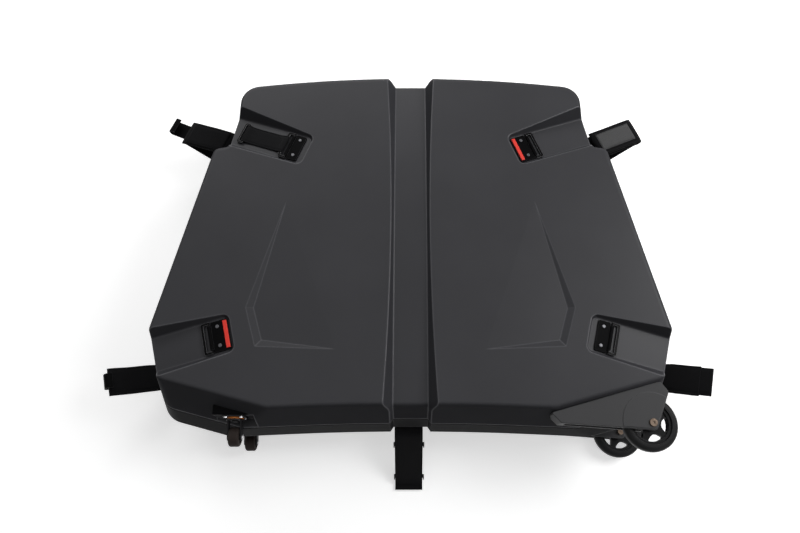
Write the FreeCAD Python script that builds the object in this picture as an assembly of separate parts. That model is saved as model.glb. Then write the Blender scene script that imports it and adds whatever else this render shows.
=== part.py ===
import FreeCAD, Part
import math
import os

# Hard travel case for a bicycle, lying closed on its rear half
# Millimetres. X runs across the case, Y away from the wheels, Z up from the floor.
# Everything is drawn in the shells' frame, with Z zero at the joint between the halves,
# and moved at the end so that the origin is the middle of the footprint on the floor.

os.makedirs("parts", exist_ok=True)
V = FreeCAD.Vector
ACROSS = V(1, 0, 0)
ALONG = V(0, 1, 0)
UP = V(0, 0, 1)

# General sizes
half_depth = 145.0
shell_wall = 3.0
edge_round = 12.0
overrun = 2.0
clearance = 0.3
running_gap = 0.08
footprint_shift = 58.0

# Outline of the face, right half, measured from the middle of the shells
crown_y = 484.0
crown_round = 3300.0
upper_x = 460.0
upper_y = 427.0
upper_round = 50.0
upper_rim_round = 85.0
shoulder_y = 350.0
shoulder_round = 10.0
jog_x = 480.0
jog_y = 243.0
jog_round = 8.0
hip_x = 517.0
hip_y = 236.0
hip_round = 20.0
widest_x = 616.0
widest_y = -250.0
widest_round = 16.0
widest_rim_round = 40.0
flank_x = 580.0
flank_y = -368.0
flank_round = 18.0
flank_rim_round = 60.0
toe_x = 319.0
toe_y = -436.0
toe_round = 40.0
toe_rim_round = 100.0
arch_y = -422.0
arch_round = 6800.0

# How far each wall leans out between the face and the joint
top_run = 32.0
upper_run = 45.0
shoulder_run = 40.0
jog_run = 12.0
side_run = 24.0
flank_run = 38.0
facet_run = 79.0
bottom_run = 46.0

# Rim frames and seal
rim_height = 42.0
rim_wall = 6.0
joint_line = 5.0
tongue_height = 14.0
tongue_wall = 3.0
seal_height = 3.0
seal_inset = 1.5
seal_width = 3.5

# Belt groove over the middle of each half
groove_side_gap = 2.0
groove_draft = 36.0
groove_end_depth = 30.0
groove_rise = 36.0
groove_round = 5000.0
groove_top_inset = 15.0
groove_bottom_inset = 11.0
groove_bend = 14.0
groove_far = 700.0
groove_lift_share = 1.5

# Strap channels
channel_side_gap = 4.0
channel_depth = 8.0
channel_reach = 330.0
channel_height = 70.0
channel_round = 4.0
channel_end_round = 12.0
channel_end_flare_share = 0.45
channel_draft = 30.0
channel_end_draft = 20.0
channel_fall = 6.8
upper_channel_x = 273.0
upper_channel_y = 229.0
upper_channel_turn = 21.0
lower_channel_x = 421.0
lower_channel_y = -261.0
lower_channel_turn = -15.0

# Sunk side panels
panel_apex_x = 315.0
panel_apex_y = 80.0
panel_outer_x = 392.0
panel_outer_y = -201.0
panel_low_x = 362.0
panel_low_y = -295.0
panel_end_x = 175.0
panel_end_y = -302.0
panel_depth = 8.0
panel_bank = 18.0
panel_far = 900.0
panel_cut_share = 2.0

# Strap plates, their screws, loops and release tabs
plate_gap = 4.0
plate_length = 46.0
plate_width = 76.0
plate_thick = 4.0
plate_round = 5.0
plate_edge = 1.0
barrel_radius = 4.6
barrel_gap = 4.0
screw_edge = 14.5
screw_setback = 20.0
screw_head_radius = 4.5
screw_head_height = 2.6
screw_radius = 2.5
screw_gap = 0.2
nut_radius = 4.6
nut_height = 4.0
nut_sides = 6
screw_tip = 1.0
loop_side = 1.0
loop_length = 20.0
loop_arm = 6.0
loop_bar = 7.0
loop_radius = 2.2
loop_round = 5.0
loop_notch = 5.0
tab_offset = 2.0
tab_length = 10.0
tab_inset = 4.0
tab_height = 3.2
tab_round = 1.0
tab_travel = 1.8
tab_bed = 1.2

# Short webbing on the upper left loop, with its end ring
webbing_width = 50.0
webbing_thick = 1.8
webbing_length = 118.0
webbing_taper = 14.0
webbing_round = 1.5
ring_side_gap = 1.0
ring_length = 18.0
ring_bar = 5.0
ring_round = 4.0

# Side straps: webbing with a wider padded sleeve
strap_width = 50.0
strap_thick = 7.5
sleeve_width = 68.0
sleeve_thick = 9.0
strap_bend = 30.0
upper_mouth = 250.0
upper_lift_s = 284.0
upper_lift_z = -8.0
upper_end_s = 408.0
upper_end_z = 0.0
lower_mouth = 212.0
lower_bend = 60.0
lower_end_s = 357.0
lower_end_z = -10.0
sleeve_start_s = 222.0
lower_sleeve_start_s = 196.0
fold_length = 104.0
fold_rise = 16.0
fold_round = 7.5
hook_width = 44.0
lower_hook_width = 37.0
hook_thick = 3.0
hook_reach = 42.0
lower_hook_reach = 9.0
tongue_length = 30.0
tongue_width = 61.0
hook_curl = 7.0
hook_rise = 20.0
hook_return = 16.0

# Bottom strap with its slides and anchor
belt_width = 68.0
belt_thick = 4.0
belt_x = -4.0
belt_low_share = 0.6345
belt_lip = 20.0
belt_lip_bend = 8.0
belt_out_y = 482.0
belt_out_z = 24.0
belt_out_bend = 30.0
belt_floor_y = 592.0
belt_floor_bend = 30.0
belt_end_y = 608.0
belt_rest = 3.0
slide_side = 4.5
slide_length = 12.0
slide_thick = 2.2
slide_lip = 5.5
slide_lip_wall = 2.5
upper_slide_share = 0.19
lower_slide_share = 0.86
anchor_side = 1.0
anchor_height = 26.0
anchor_thick = 3.0
rivet_radius = 3.0
rivet_edge = 13.0
rivet_reach = 12.0

# Main wheels and their guards, at the right lower corner, placed along the cut-back wall and out from it
wheel_along = 208.0
wheel_gap = 6.8
wheel_radius = 62.5
wheel_width = 28.0
tread_round = 11.0
tyre_thick = 15.5
rim_thick = 6.5
rim_width = 20.0
hub_radius = 16.0
hub_width = 26.0
web_thick = 12.0
window_count = 5
window_start = 66.0
window_half_turn = 28.5
window_apex_share = 0.16
window_apex_round_share = 0.64
window_corner_round_share = 0.11
window_rim_round_share = 1.36
bearing_radius = 11.0
bearing_width = 7.0
axle_radius = 4.0
axle_head_radius = 9.0
axle_head_height = 4.0
axle_head_round = 1.2
axle_key_radius = 3.0
axle_key_depth = 2.4
axle_nut_radius = 7.5
axle_nut_height = 6.5
guard_drop = 7.6
guard_cheek = 7.4
guard_inner_cheek = 9.0
guard_wheel_room = 4.0
guard_tip_along = -5.2
guard_tip_out = 7.95
guard_crest_along = 259.5
guard_crest_out = 3.5
guard_side_along = 269.9
guard_side_out = 31.0
guard_foot_along = 211.4
guard_foot_past = 18.5
guard_heel_along = 131.0
guard_heel_short = 9.7
guard_toe_along = 10.3
guard_toe_out = 35.8
pad_margin = 5.0
pad_inset = 3.0
pad_rise = 1.6
pad_round = 1.4
guard_round = 10.0
guard_edge = 4.0
guard_lip_round = 2.0
guard_roof = 7.0

# Casters, at the left lower corner
caster_x = -409.0
caster_height_share = 0.306
caster_sink = 4.8
pocket_side = 22.0
pocket_margin = 1.0
pod_margin = 4.0
pocket_reach = 60.0
pod_edge = 4.0
caster_plate_size = 52.0
caster_plate_thick = 3.0
caster_plate_round = 6.0
caster_bolt_edge = 8.0
caster_bolt_radius = 2.5
caster_bolt_head_radius = 4.4
caster_bolt_head_height = 2.8
caster_bolt_length = 12.0
race_radius = 19.0
race_bore = 13.0
race_height = 4.0
fork_head_radius = 21.0
fork_head_thick = 3.0
king_radius = 5.0
king_head_radius = 8.0
king_head_height = 2.5
king_gap = 0.4
caster_trail = 12.0
caster_wheel_room = 11.0
caster_wheel_radius = 22.0
caster_wheel_width = 25.0
caster_tread_round = 5.0
caster_hub_radius = 9.0
caster_dish = 2.5
caster_axle_radius = 4.0
caster_axle_head_radius = 6.0
caster_axle_head_height = 2.0
fork_leg_thick = 3.0
fork_leg_gap = 1.0
fork_leg_width = 20.0
fork_leg_foot = 8.0

# Foam liners, frame straps and their anchors, inside
foam_thick = 18.0
foam_near = 105.0
foam_far = 370.0
foam_low = -380.0
foam_high = 150.0
foam_round = 25.0
frame_strap_y = -50.0
frame_strap_width = 30.0
frame_strap_thick = 2.0
frame_anchor_width = 40.0
frame_anchor_length = 12.0
frame_anchor_gap = 3.0

# Sizes that follow from the ones above
joint_top = rim_height + joint_line
channel_floor = plate_width + 2 * channel_side_gap
loop_width = plate_width + 2 * loop_side
barrel_length = loop_width - 2 * loop_arm - 2 * barrel_gap
screw_spread = plate_width - 2 * screw_edge
tab_width = plate_width - 2 * tab_inset
ring_width = webbing_width + 2 * (ring_bar + ring_side_gap)
belt_low = half_depth * belt_low_share
slide_width = belt_width + 2 * slide_side
anchor_width = belt_width + 2 * anchor_side
rivet_spread = anchor_width - 2 * rivet_edge
groove_floor = anchor_width + 2 * abs(belt_x) + 2 * groove_side_gap
tyre_inner = wheel_radius - tyre_thick
rim_inner = tyre_inner - rim_thick
guard_top = half_depth - guard_drop
wheel_z = guard_top - guard_cheek - guard_wheel_room / 2 - wheel_width / 2
wheel_out = facet_run * (1 - wheel_z / half_depth) + wheel_gap + wheel_radius
toe = V(toe_x, toe_y, 0)
facet_along = V(flank_x - toe_x, flank_y - toe_y, 0).normalize()
facet_out = V(facet_along.y, -facet_along.x, 0)
spindle = toe + facet_along * wheel_along + facet_out * wheel_out
caster_z = joint_top + (half_depth - joint_top) * caster_height_share
caster_wall = toe_y + (-caster_x - toe_x) * facet_along.y / facet_along.x
caster_seat = caster_wall - facet_run * (1 - caster_z / half_depth) / facet_along.x + caster_sink
pocket_width = caster_plate_size + 2 * pocket_side
pocket_low = caster_z - caster_plate_size / 2 - pocket_margin
pocket_high = caster_z + caster_plate_size / 2 + pod_margin
caster_bolt_spread = caster_plate_size - 2 * caster_bolt_edge

nodes = {}


# Helpers
def shifted(points, shifts):
    """The corners of a polygon after each side has moved to its left by its own shift."""
    count = len(points)
    sides = []
    for i in range(count):
        start = V(points[i][0], points[i][1], 0)
        after = points[(i + 1) % count]
        course = (V(after[0], after[1], 0) - start).normalize()
        sides.append((start + V(-course.y, course.x, 0) * shifts[i], course))
    moved = []
    for i in range(count):
        start, course = sides[i - 1]
        other, turn = sides[i]
        far = (other - start).cross(turn).z / course.cross(turn).z
        moved.append(start + course * far)
    return moved


def outline(points, rounds, lift):
    """Closed wire through the corners, each rounded, placed in space by lift."""
    count = len(points)
    bends = []
    for i in range(count):
        here = V(points[i][0], points[i][1], 0)
        before = V(points[i - 1][0], points[i - 1][1], 0) - here
        after = V(points[(i + 1) % count][0], points[(i + 1) % count][1], 0) - here
        before.normalize()
        after.normalize()
        half = before.getAngle(after) / 2
        reach = rounds[i] / math.tan(half)
        middle = here
        if rounds[i]:
            middle = here + (before + after).normalize() * (rounds[i] / math.sin(half) - rounds[i])
        bends.append((here + before * reach, middle, here + after * reach))
    edges = []
    for i in range(count):
        start, middle, end = bends[i]
        if rounds[i]:
            edges.append(Part.Arc(lift(start), lift(middle), lift(end)).toShape())
        edges.append(Part.LineSegment(lift(end), lift(bends[(i + 1) % count][0])).toShape())
    return Part.Wire(edges)


def level(z):
    """Lift for a drawing in plan at height z."""
    return lambda point: V(point.x, point.y, z)


def upright(y):
    """Lift for a drawing seen from the side, with its first axis along X."""
    return lambda point: V(point.x, y, point.y)


def sideways(x):
    """Lift for a drawing seen along X, with its first axis along Y."""
    return lambda point: V(x, point.x, point.y)


def prism(points, rounds, low, high):
    """Upright solid over a rounded outline in plan."""
    return Part.Face(outline(points, rounds, level(low))).extrude(UP * (high - low))


def block(x_low, x_high, y_low, y_high, z_low, z_high):
    """Box between two corners."""
    return Part.makeBox(x_high - x_low, y_high - y_low, z_high - z_low, V(x_low, y_low, z_low))


def disc(radius, start, end):
    """Cylinder between two points."""
    return Part.makeCylinder(radius, (end - start).Length, start, end - start)


def mirrored(shape, axis):
    """Mirror image through the middle of the case."""
    return shape.mirror(V(0, 0, 0), axis)


def at(shape, place):
    """Copy of a shape, put in a frame."""
    moved = shape.copy()
    moved.Placement = place.multiply(moved.Placement)
    return moved


def edges_where(shape, test):
    """Edges of a shape whose two ends both pass a test."""
    return [edge for edge in shape.Edges if all(test(corner.Point) for corner in edge.Vertexes)]


def ribbon(path, thick, width):
    """Band along a path of (along, up, bend) points, centred on Y zero."""
    ends = len(path)
    there = [point[:2] for point in path]
    half = thick / 2
    sides = []
    for i in range(ends - 1):
        start = V(there[i][0], there[i][1], 0)
        course = (V(there[i + 1][0], there[i + 1][1], 0) - start).normalize()
        sides.append((start, course, V(-course.y, course.x, 0)))
    corners = []
    rounds = []
    for side in (1, -1):
        row = []
        bends = []
        for i in range(ends):
            start, course, left = sides[min(i, ends - 2)]
            if i == 0 or i == ends - 1:
                row.append(V(there[i][0], there[i][1], 0) + left * half * side)
                bends.append(0)
                continue
            first, toward, outward = sides[i - 1]
            first = first + outward * half * side
            other = start + left * half * side
            far = (other - first).cross(course).z / toward.cross(course).z
            row.append(first + toward * far)
            turn = toward.cross(course).z
            bends.append(path[i][2] - half * side * math.copysign(1, turn))
        corners += row if side == 1 else row[::-1]
        rounds += bends if side == 1 else bends[::-1]
    face = Part.Face(outline(corners, rounds, upright(-width / 2)))
    return face.extrude(ALONG * width)


def keep(name, shape):
    """Store one piece of the assembly."""
    nodes[name] = shape


def group(shapes):
    """Separate solids that share one node."""
    return Part.makeCompound(shapes)


# Form of one half, drawn for the front
right_half = [
    (0, crown_y, crown_round, crown_round, top_run),
    (upper_x, upper_y, upper_round, upper_rim_round, upper_run),
    (upper_x, shoulder_y, shoulder_round, shoulder_round, shoulder_run),
    (jog_x, jog_y, jog_round, jog_round, jog_run),
    (hip_x, hip_y, hip_round, hip_round, side_run),
    (widest_x, widest_y, widest_round, widest_rim_round, flank_run),
    (flank_x, flank_y, flank_round, flank_rim_round, facet_run),
    (toe_x, toe_y, toe_round, toe_rim_round, bottom_run),
    (0, arch_y, arch_round, arch_round, bottom_run),
]
left_half = []
for i in range(len(right_half) - 2, 0, -1):
    x, y, face_round, rim_round, run = right_half[i]
    left_half.append((-x, y, face_round, rim_round, right_half[i - 1][4]))
corner_rows = right_half + left_half


def section(inset, z):
    """Outline of the half at height z above the joint, moved in by inset."""
    count = len(corner_rows)
    share = 1 - z / half_depth
    shifts = [row[4] * share - inset * math.hypot(1, row[4] / half_depth) for row in corner_rows]
    rounds = []
    for i, row in enumerate(corner_rows):
        before = corner_rows[i - 1]
        after = corner_rows[(i + 1) % count]
        arriving = V(row[0] - before[0], row[1] - before[1], 0)
        leaving = V(after[0] - row[0], after[1] - row[1], 0)
        turn = arriving.cross(leaving).z
        rounds.append(row[2] + (row[3] - row[2]) * share + inset * math.copysign(1, turn))
    return outline(shifted(corner_rows, shifts), rounds, level(z))


def plain_form(inset, low, high):
    """Solid half between two heights, without its channels."""
    return Part.makeLoft([section(inset, low), section(inset, high)], True, True)


# Belt groove, from the joint at the bottom wall, over the face, to the joint at the top wall
crown_lean = math.atan2(crown_y - upper_y, upper_x)
arch_lean = math.atan2(arch_y - toe_y, toe_x)
face_top_y = crown_y - crown_round * (1 / math.cos(crown_lean) - 1)
face_bottom_y = arch_y - arch_round * (1 / math.cos(arch_lean) - 1)


def groove_bottom(z):
    """Y of the groove's floor on the bottom wall."""
    return face_bottom_y - bottom_run * (1 - z / half_depth) + groove_bottom_inset


def groove_top(z):
    """Y of the groove's floor on the top wall."""
    return face_top_y + top_run * (1 - z / half_depth) - groove_top_inset


def groove_cutter(grow):
    """What the belt groove removes, grown all round by a wall."""
    bend_z = half_depth - groove_end_depth
    low = -groove_end_depth
    high = half_depth + groove_far
    points = [
        (groove_bottom(low), low),
        (groove_bottom(bend_z), bend_z),
        ((groove_bottom(bend_z) + groove_top(bend_z)) / 2, bend_z + groove_rise),
        (groove_top(bend_z), bend_z),
        (groove_top(low), low),
        (groove_far, low),
        (groove_far, high),
        (-groove_far, high),
        (-groove_far, low),
    ]
    lift = groove_end_depth * groove_lift_share
    half_floor = groove_floor / 2 + grow * math.tan(math.radians((90 - groove_draft) / 2))
    half_mouth = half_floor + (lift + grow) * math.tan(math.radians(groove_draft))
    wires = []
    for x, shift in ((-half_mouth, lift), (-half_floor, -grow), (half_floor, -grow), (half_mouth, lift)):
        moved = shifted(points, [shift, shift, shift, shift, 0, 0, 0, 0, 0])
        rounds = [0, groove_bend + shift, groove_round + shift, groove_bend + shift, 0, 0, 0, 0, 0]
        wires.append(outline(moved, rounds, sideways(x)))
    return Part.makeLoft(wires, True, True)


# Strap channels
def channel_frame(x, y, turn):
    """Frame on a channel's floor: X outwards along the floor, Z off the floor."""
    spin = FreeCAD.Rotation(UP, turn).multiply(FreeCAD.Rotation(ALONG, channel_fall))
    return FreeCAD.Placement(V(x, y, half_depth - channel_depth), spin)


upper_frame = channel_frame(upper_channel_x, upper_channel_y, upper_channel_turn)
lower_frame = channel_frame(lower_channel_x, lower_channel_y, lower_channel_turn)


def channel_cutter(grow):
    """What a strap channel removes, in its own frame."""
    half = channel_floor / 2 + grow * math.tan(math.radians((90 - channel_draft) / 2))
    start = -grow * math.tan(math.radians((90 - channel_end_draft) / 2))
    rise = channel_height + grow
    half_mouth = half + rise * math.tan(math.radians(channel_draft))
    start_mouth = start - rise * math.tan(math.radians(channel_end_draft))
    floor = [(start, half), (channel_reach, half), (channel_reach, -half), (start, -half)]
    mouth = [(start_mouth, half_mouth), (channel_reach, half_mouth), (channel_reach, -half_mouth),
             (start_mouth, -half_mouth)]
    end_round = channel_end_round + grow
    wide_round = end_round + rise * channel_end_flare_share
    wires = [outline(floor, [end_round, 0, 0, end_round], level(-grow)),
             outline(mouth, [wide_round, 0, 0, wide_round], level(channel_height))]
    solid = Part.makeLoft(wires, True, True)
    sunk = edges_where(solid, lambda point: abs(point.z + grow) < clearance)
    sunk = [edge for edge in sunk if edge.CenterOfMass.x < channel_reach - overrun]
    return solid.makeFillet(channel_round + grow, sunk)


def both_sides(shape):
    """A shape on the right and its mirror image on the left."""
    return [shape, mirrored(shape, ACROSS)]


# Sunk side panels
def panel_cutter(grow):
    """What a sunk side panel removes on the right: a sloping floor inside banked sides."""
    points = [(panel_apex_x, panel_apex_y), (panel_outer_x, panel_outer_y), (panel_low_x, panel_low_y),
              (panel_end_x, panel_end_y)]
    slope = panel_bank / panel_depth
    spread = grow * math.hypot(1, slope)
    wires = []
    for z in (half_depth - panel_depth * panel_cut_share, half_depth + overrun):
        shift = (z - half_depth) * slope + spread
        moved = shifted(points, [shift, shift, shift, 0])
        wires.append(outline(moved, [0] * len(points), level(z)))
    banked = Part.makeLoft(wires, True, True)
    hinge = V(panel_apex_x - panel_end_x, panel_apex_y - panel_end_y, 0).normalize()
    off = V(panel_outer_x - panel_apex_x, panel_outer_y - panel_apex_y, 0)
    fall = math.degrees(math.atan2(panel_depth, hinge.cross(off).Length))
    spin = FreeCAD.Rotation(UP, math.degrees(math.atan2(hinge.y, hinge.x))).multiply(
        FreeCAD.Rotation(ACROSS, fall))
    above = block(-panel_far, panel_far, -panel_far, panel_far, -grow, panel_far)
    above.Placement = FreeCAD.Placement(V(panel_end_x, panel_end_y, half_depth), spin)
    return banked.common(above)


# Caster pocket in the left lower corner
def pocket_cutter(grow):
    """What the caster pocket removes."""
    half = pocket_width / 2 + grow
    return block(caster_x - half, caster_x + half, caster_seat - pocket_reach, caster_seat + grow,
                 pocket_low - grow, half_depth)


def half_form(inset, low):
    """Solid half with groove, channels, panels and pocket, moved in by inset."""
    high = half_depth - inset
    solid = plain_form(inset, low, high)
    rim = edges_where(solid, lambda point: abs(point.z - high) < clearance)
    solid = solid.makeFillet(edge_round - inset, rim)
    cutters = [groove_cutter(inset), pocket_cutter(inset)]
    for frame in (upper_frame, lower_frame):
        cutters += both_sides(at(channel_cutter(inset), frame))
    cutters += both_sides(panel_cutter(inset))
    return solid.cut(cutters)


# Where the pieces go
def on_front(shape, frame, left):
    """A piece drawn in a channel's frame, put on the front half."""
    placed = at(shape, frame)
    return mirrored(placed, ACROSS) if left else placed


def on_rear(shape, frame, left):
    """A piece drawn in a channel's frame, put on the rear half."""
    return mirrored(on_front(shape, frame, left), UP)


corners = {
    "upper_left": (upper_frame, True),
    "upper_right": (upper_frame, False),
    "lower_left": (lower_frame, True),
    "lower_right": (lower_frame, False),
}
tabbed_corners = ("upper_right", "lower_left")
screw_x = plate_gap + plate_length - screw_setback
screw_places = [V(screw_x, side * screw_spread / 2, 0) for side in (1, -1)]
caster_frame = FreeCAD.Placement(V(caster_x, caster_seat, caster_z), FreeCAD.Rotation(ACROSS, 90))
half_bolts = caster_bolt_spread / 2
bolt_places = [V(half_bolts * a, half_bolts * b, 0) for a in (1, -1) for b in (1, -1)]

# Shells
front_shell = half_form(0, joint_top).cut(half_form(shell_wall, joint_top - overrun))
screw_hole = disc(screw_radius + screw_gap, V(0, 0, -shell_wall - overrun), V(0, 0, overrun))
bolt_hole = disc(caster_bolt_radius + screw_gap, V(0, 0, -caster_bolt_length - overrun), V(0, 0, overrun))
holes = []
for frame, left in corners.values():
    for place in screw_places:
        holes.append(on_front(screw_hole.translated(place), frame, left))
bolt_holes = [at(bolt_hole.translated(place), caster_frame) for place in bolt_places]
front_shell = front_shell.cut(holes + bolt_holes)
rivet_z = -belt_low + anchor_height / 2
rivet_y = groove_bottom(-rivet_z)
rivet_places = [V(belt_x + side * rivet_spread / 2, rivet_y, rivet_z) for side in (1, -1)]
rivet_holes = []
for place in rivet_places:
    past = ALONG * rivet_reach
    rivet_holes.append(disc(rivet_radius + screw_gap, place - past, place + past))
keep("front_shell", front_shell)
keep("rear_shell", mirrored(front_shell, UP).cut(rivet_holes))


# Rim frames and seal
def grooved(inset, low, high):
    """Half between two heights with the belt groove only."""
    return plain_form(inset, low, high).cut(groove_cutter(inset))


rim_low = seal_height / 2
tongue_inset = shell_wall + clearance
tongue_top = joint_top + tongue_height
rim_band = grooved(0, rim_low, rim_height).cut(grooved(rim_wall, rim_low - overrun, rim_height + overrun))
tongue = grooved(tongue_inset, rim_height - overrun, tongue_top).cut(
    grooved(tongue_inset + tongue_wall, rim_height - 2 * overrun, tongue_top + overrun))
tongue = tongue.cut(pocket_cutter(tongue_inset))
front_rim = rim_band.fuse(tongue).removeSplitter()
keep("front_rim", front_rim)
keep("rear_rim", mirrored(front_rim, UP))
seal = grooved(seal_inset, -rim_low, rim_low - clearance).cut(
    grooved(seal_inset + seal_width, -rim_low - overrun, rim_low + overrun))
keep("rim_seal", seal)

# Strap plates: a plate on the channel's floor with a barrel for the loop at its outer end
hinge_x = plate_gap + plate_length
barrel_bore = loop_radius + running_gap


def strap_plate(tabbed):
    """One plate in its channel's frame, with or without the bed for a release tab."""
    half = plate_width / 2
    start = plate_gap if tabbed else tab_x + tab_length
    points = [(start, half), (hinge_x, half), (hinge_x, -half), (start, -half)]
    solid = prism(points, [plate_round, 0, 0, plate_round], 0, plate_thick)
    rim = edges_where(solid, lambda point: point.z > plate_thick - clearance)
    rim = [edge for edge in rim if edge.CenterOfMass.x < hinge_x - clearance]
    solid = solid.makeChamfer(plate_edge, rim)
    reach = V(0, barrel_length / 2, 0)
    middle = V(hinge_x, 0, barrel_radius)
    solid = solid.fuse(disc(barrel_radius, middle - reach, middle + reach))
    cuts = [disc(barrel_bore, middle - ALONG * plate_width, middle + ALONG * plate_width)]
    notch = block(hinge_x - loop_notch, hinge_x + overrun, (barrel_length + barrel_gap) / 2, half + overrun,
                  -overrun, plate_thick + overrun)
    cuts += [notch, mirrored(notch, ALONG)]
    for place in screw_places:
        top = place + UP * (plate_thick + overrun)
        cuts.append(disc(screw_radius + screw_gap, place - UP * overrun, top))
    if tabbed:
        cuts.append(block(tab_x, tab_x + tab_length, -tab_width / 2, tab_width / 2, tab_bed,
                          plate_thick + overrun))
    return solid.cut(cuts)


def plate_screw():
    """Screw through plate and shell with its nut, in the plate's frame."""
    head = disc(screw_head_radius, UP * plate_thick, UP * (plate_thick + screw_head_height))
    crown = edges_where(head, lambda point: point.z > plate_thick + clearance)
    head = head.makeFillet(screw_head_height / 2, crown)
    nut_low = -shell_wall - nut_height
    screw = head.fuse(disc(screw_radius, UP * (nut_low - screw_tip), UP * plate_thick))
    turns = [2 * math.pi * k / nut_sides for k in range(nut_sides)]
    nut_corners = [V(nut_radius * math.cos(turn), nut_radius * math.sin(turn), 0) for turn in turns]
    nut = prism(nut_corners, [0] * nut_sides, nut_low, -shell_wall)
    nut = nut.cut(disc(screw_radius + running_gap, UP * (nut_low - overrun), UP * overrun))
    return [screw, nut]


def strap_loop(drop):
    """Flat loop on its round bar, hung in the plate's barrel and dropped by an angle."""
    half = loop_width / 2
    points = [(0, half), (loop_length, half), (loop_length, -half), (0, -half)]
    frame = prism(points, [0, loop_round, loop_round, 0], -loop_radius, loop_radius)
    past = loop_radius + overrun
    window = block(-overrun, loop_length - loop_bar, loop_arm - half, half - loop_arm, -past, past)
    bar = disc(loop_radius, V(0, -half, 0), V(0, half, 0))
    loop = frame.cut(window).fuse(bar)
    return at(loop, FreeCAD.Placement(V(hinge_x, 0, barrel_radius), FreeCAD.Rotation(ALONG, drop)))


tab_x = plate_gap + tab_offset
loop_drop = math.degrees(math.asin((barrel_radius - loop_radius - clearance) / loop_length))
tab_low = tab_bed + tab_travel + clearance
half_tab = tab_width / 2 - clearance
tab = block(tab_x + clearance, tab_x + tab_length - clearance, -half_tab, half_tab, tab_low,
            tab_low + tab_height)
tab = tab.makeFillet(tab_round, edges_where(tab, lambda point: point.z > tab_low + clearance))
front_screws = []
rear_plates = []
rear_bars = []
rear_screws = []
for corner, (frame, left) in corners.items():
    tabbed = corner in tabbed_corners
    keep("front_plate_" + corner, on_front(strap_plate(tabbed), frame, left))
    drop = 0 if corner == "upper_left" else loop_drop
    keep("front_loop_" + corner, on_front(strap_loop(drop), frame, left))
    rear_plates.append(on_rear(strap_plate(False), frame, left))
    rear_bars.append(on_rear(strap_loop(0), frame, left))
    if tabbed:
        keep("release_tab_" + corner, on_front(tab, frame, left))
    for place in screw_places:
        for piece in plate_screw():
            front_screws.append(on_front(piece.translated(place), frame, left))
            rear_screws.append(on_rear(piece.translated(place), frame, left))
keep("front_plate_screws", group(front_screws))
keep("rear_strap_plates", group(rear_plates))
keep("rear_strap_bars", group(rear_bars))
keep("rear_plate_screws", group(rear_screws))

# Short webbing on the upper left loop: two layers with an eye at each end
bar_start = hinge_x + loop_length - loop_bar
bar_end = hinge_x + loop_length
ring_start = bar_start + webbing_length
ring_end = ring_start + ring_bar
eye_low = barrel_radius - loop_radius - clearance
eye_high = barrel_radius + loop_radius + clearance
skin = clearance + webbing_thick
webbing_low = eye_low - webbing_thick
webbing_mid = webbing_low + 2 * webbing_thick
webbing_high = eye_high + webbing_thick
webbing_points = [
    (bar_start - skin, webbing_high),
    (bar_end + clearance, webbing_high),
    (bar_end + webbing_taper, webbing_mid),
    (ring_start - webbing_taper, webbing_mid),
    (ring_start - clearance, webbing_high),
    (ring_end + skin, webbing_high),
    (ring_end + skin, webbing_low),
    (bar_start - skin, webbing_low),
]
webbing_rounds = [webbing_round] * len(webbing_points)
webbing = Part.Face(outline(webbing_points, webbing_rounds, upright(-webbing_width / 2)))
webbing = webbing.extrude(ALONG * webbing_width)
eyes = []
for start, end in ((bar_start, bar_end), (ring_start, ring_end)):
    eyes.append(block(start - clearance, end + clearance, -webbing_width, webbing_width, eye_low, eye_high))
webbing = webbing.cut(eyes)
keep("upper_left_webbing", on_front(webbing, upper_frame, True))
half_ring = ring_width / 2
ring_far = ring_start + ring_length
ring_points = [(ring_start, half_ring), (ring_far, half_ring), (ring_far, -half_ring),
               (ring_start, -half_ring)]
end_ring = prism(ring_points, [ring_round] * 4, barrel_radius - loop_radius, barrel_radius + loop_radius)
end_ring = end_ring.cut(block(ring_end, ring_far - ring_bar, ring_bar - half_ring, half_ring - ring_bar, 0,
                              2 * barrel_radius))
keep("upper_left_end_ring", on_front(end_ring, upper_frame, True))


# Side straps: webbing from a rear bar along the channel, round the edge and out, with a padded sleeve
def rear_floor(s):
    """Height of a rear channel's floor at a distance along the ground."""
    return channel_depth - half_depth + s * math.tan(math.radians(channel_fall))


def strap_height(s):
    """Height of the strap's middle in its channel."""
    return rear_floor(s) - barrel_radius / math.cos(math.radians(channel_fall))


def strap_frame(x, y, turn):
    """Upright frame along a channel, with its X outwards."""
    return FreeCAD.Placement(V(x, y, 0), FreeCAD.Rotation(UP, turn))


strap_start = bar_start - skin
eye = block(bar_start - clearance, bar_end + clearance, -strap_width, strap_width, eye_low, eye_high)
upper_run_out = [
    (upper_mouth, strap_height(upper_mouth), strap_bend),
    (upper_lift_s, upper_lift_z, strap_bend),
]
lower_run_out = [(lower_mouth, strap_height(lower_mouth), lower_bend)]
upper_end = (upper_end_s, upper_end_z)
lower_end = (lower_end_s, lower_end_z)


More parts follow.
